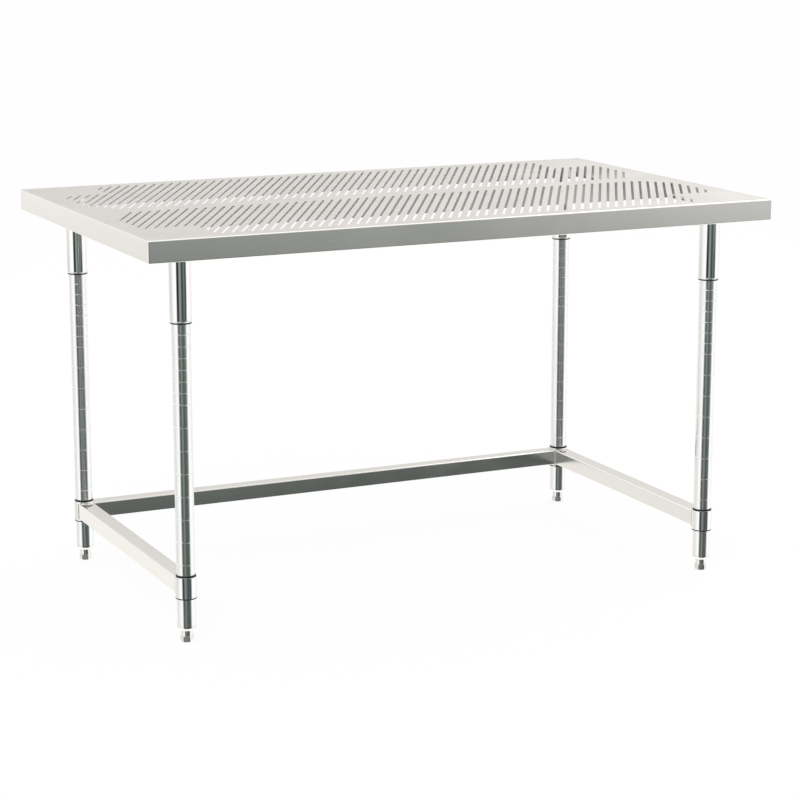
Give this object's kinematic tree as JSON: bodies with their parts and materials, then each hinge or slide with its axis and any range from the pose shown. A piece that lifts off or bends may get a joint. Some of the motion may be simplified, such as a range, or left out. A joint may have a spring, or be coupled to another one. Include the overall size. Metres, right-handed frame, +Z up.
{
  "type": "work table",
  "caption": "Rectangular stainless steel work table with a slotted top, grooved round posts, levelling feet and a low frame open at the front.",
  "frame": {"origin": "on the floor under the centre of the worktop", "axes": "+X along the length of the worktop, +Y to the back, away from the frame's open side, +Z up out of the work surface"},
  "size_m": [1.524, 0.9144, 0.9017],
  "materials": {
    "brushed_steel": "satin brushed stainless steel",
    "polished_steel": "mirror polished stainless steel",
    "black_nylon": "moulded black nylon",
    "plated_zinc": "bright plated die casting",
    "grey_plastic": "moulded grey polyethylene"
  },
  "bodies": {
    "legs": {"post_front_left": "polished_steel", "post_cap_front_left": "grey_plastic", "foot_insert_front_left": "plated_zinc", "worktop_sleeve_front_left_front_half": "black_nylon", "worktop_sleeve_front_left_back_half": "black_nylon", "frame_sleeve_front_left_front_half": "black_nylon", "frame_sleeve_front_left_back_half": "black_nylon", "post_front_right": "polished_steel", "post_cap_front_right": "grey_plastic", "foot_insert_front_right": "plated_zinc", "worktop_sleeve_front_right_front_half": "black_nylon", "worktop_sleeve_front_right_back_half": "black_nylon", "frame_sleeve_front_right_front_half": "black_nylon", "frame_sleeve_front_right_back_half": "black_nylon", "post_back_left": "polished_steel", "post_cap_back_left": "grey_plastic", "foot_insert_back_left": "plated_zinc", "worktop_sleeve_back_left_front_half": "black_nylon", "worktop_sleeve_back_left_back_half": "black_nylon", "frame_sleeve_back_left_front_half": "black_nylon", "frame_sleeve_back_left_back_half": "black_nylon", "post_back_right": "polished_steel", "post_cap_back_right": "grey_plastic", "foot_insert_back_right": "plated_zinc", "worktop_sleeve_back_right_front_half": "black_nylon", "worktop_sleeve_back_right_back_half": "black_nylon", "frame_sleeve_back_right_front_half": "black_nylon", "frame_sleeve_back_right_back_half": "black_nylon"},
    "worktop": {"slotted_deck": "brushed_steel", "centre_channel": "brushed_steel", "socket_plate_front_left": "brushed_steel", "leg_socket_front_left": "polished_steel", "socket_plate_front_right": "brushed_steel", "leg_socket_front_right": "polished_steel", "socket_plate_back_left": "brushed_steel", "leg_socket_back_left": "polished_steel", "socket_plate_back_right": "brushed_steel", "leg_socket_back_right": "polished_steel"},
    "lower_frame": {"rail_left": "brushed_steel", "rail_right": "brushed_steel", "rail_back": "brushed_steel", "frame_collar_front_left": "polished_steel", "frame_collar_front_right": "polished_steel", "frame_collar_back_left": "polished_steel", "frame_collar_back_right": "polished_steel"},
    "foot_front_left": {"levelling_foot_front_left": "plated_zinc"},
    "foot_front_right": {"levelling_foot_front_right": "plated_zinc"},
    "foot_back_left": {"levelling_foot_back_left": "plated_zinc"},
    "foot_back_right": {"levelling_foot_back_right": "plated_zinc"}
  },
  "joints": [
    {"name": "worktop_lift", "type": "slide", "parent": "legs", "child": "worktop", "axis": [0, 0, 1], "range_m": [0, 0.0762]},
    {"name": "frame_lift", "type": "slide", "parent": "legs", "child": "lower_frame", "axis": [0, 0, 1], "range_m": [0, 0.3556]},
    {"name": "foot_level_front_left", "type": "slide", "parent": "legs", "child": "foot_front_left", "axis": [0, 0, -1], "range_m": [0, 0.0254]},
    {"name": "foot_level_front_right", "type": "slide", "parent": "legs", "child": "foot_front_right", "axis": [0, 0, -1], "range_m": [0, 0.0254]},
    {"name": "foot_level_back_left", "type": "slide", "parent": "legs", "child": "foot_back_left", "axis": [0, 0, -1], "range_m": [0, 0.0254]},
    {"name": "foot_level_back_right", "type": "slide", "parent": "legs", "child": "foot_back_right", "axis": [0, 0, -1], "range_m": [0, 0.0254]}
  ]
}
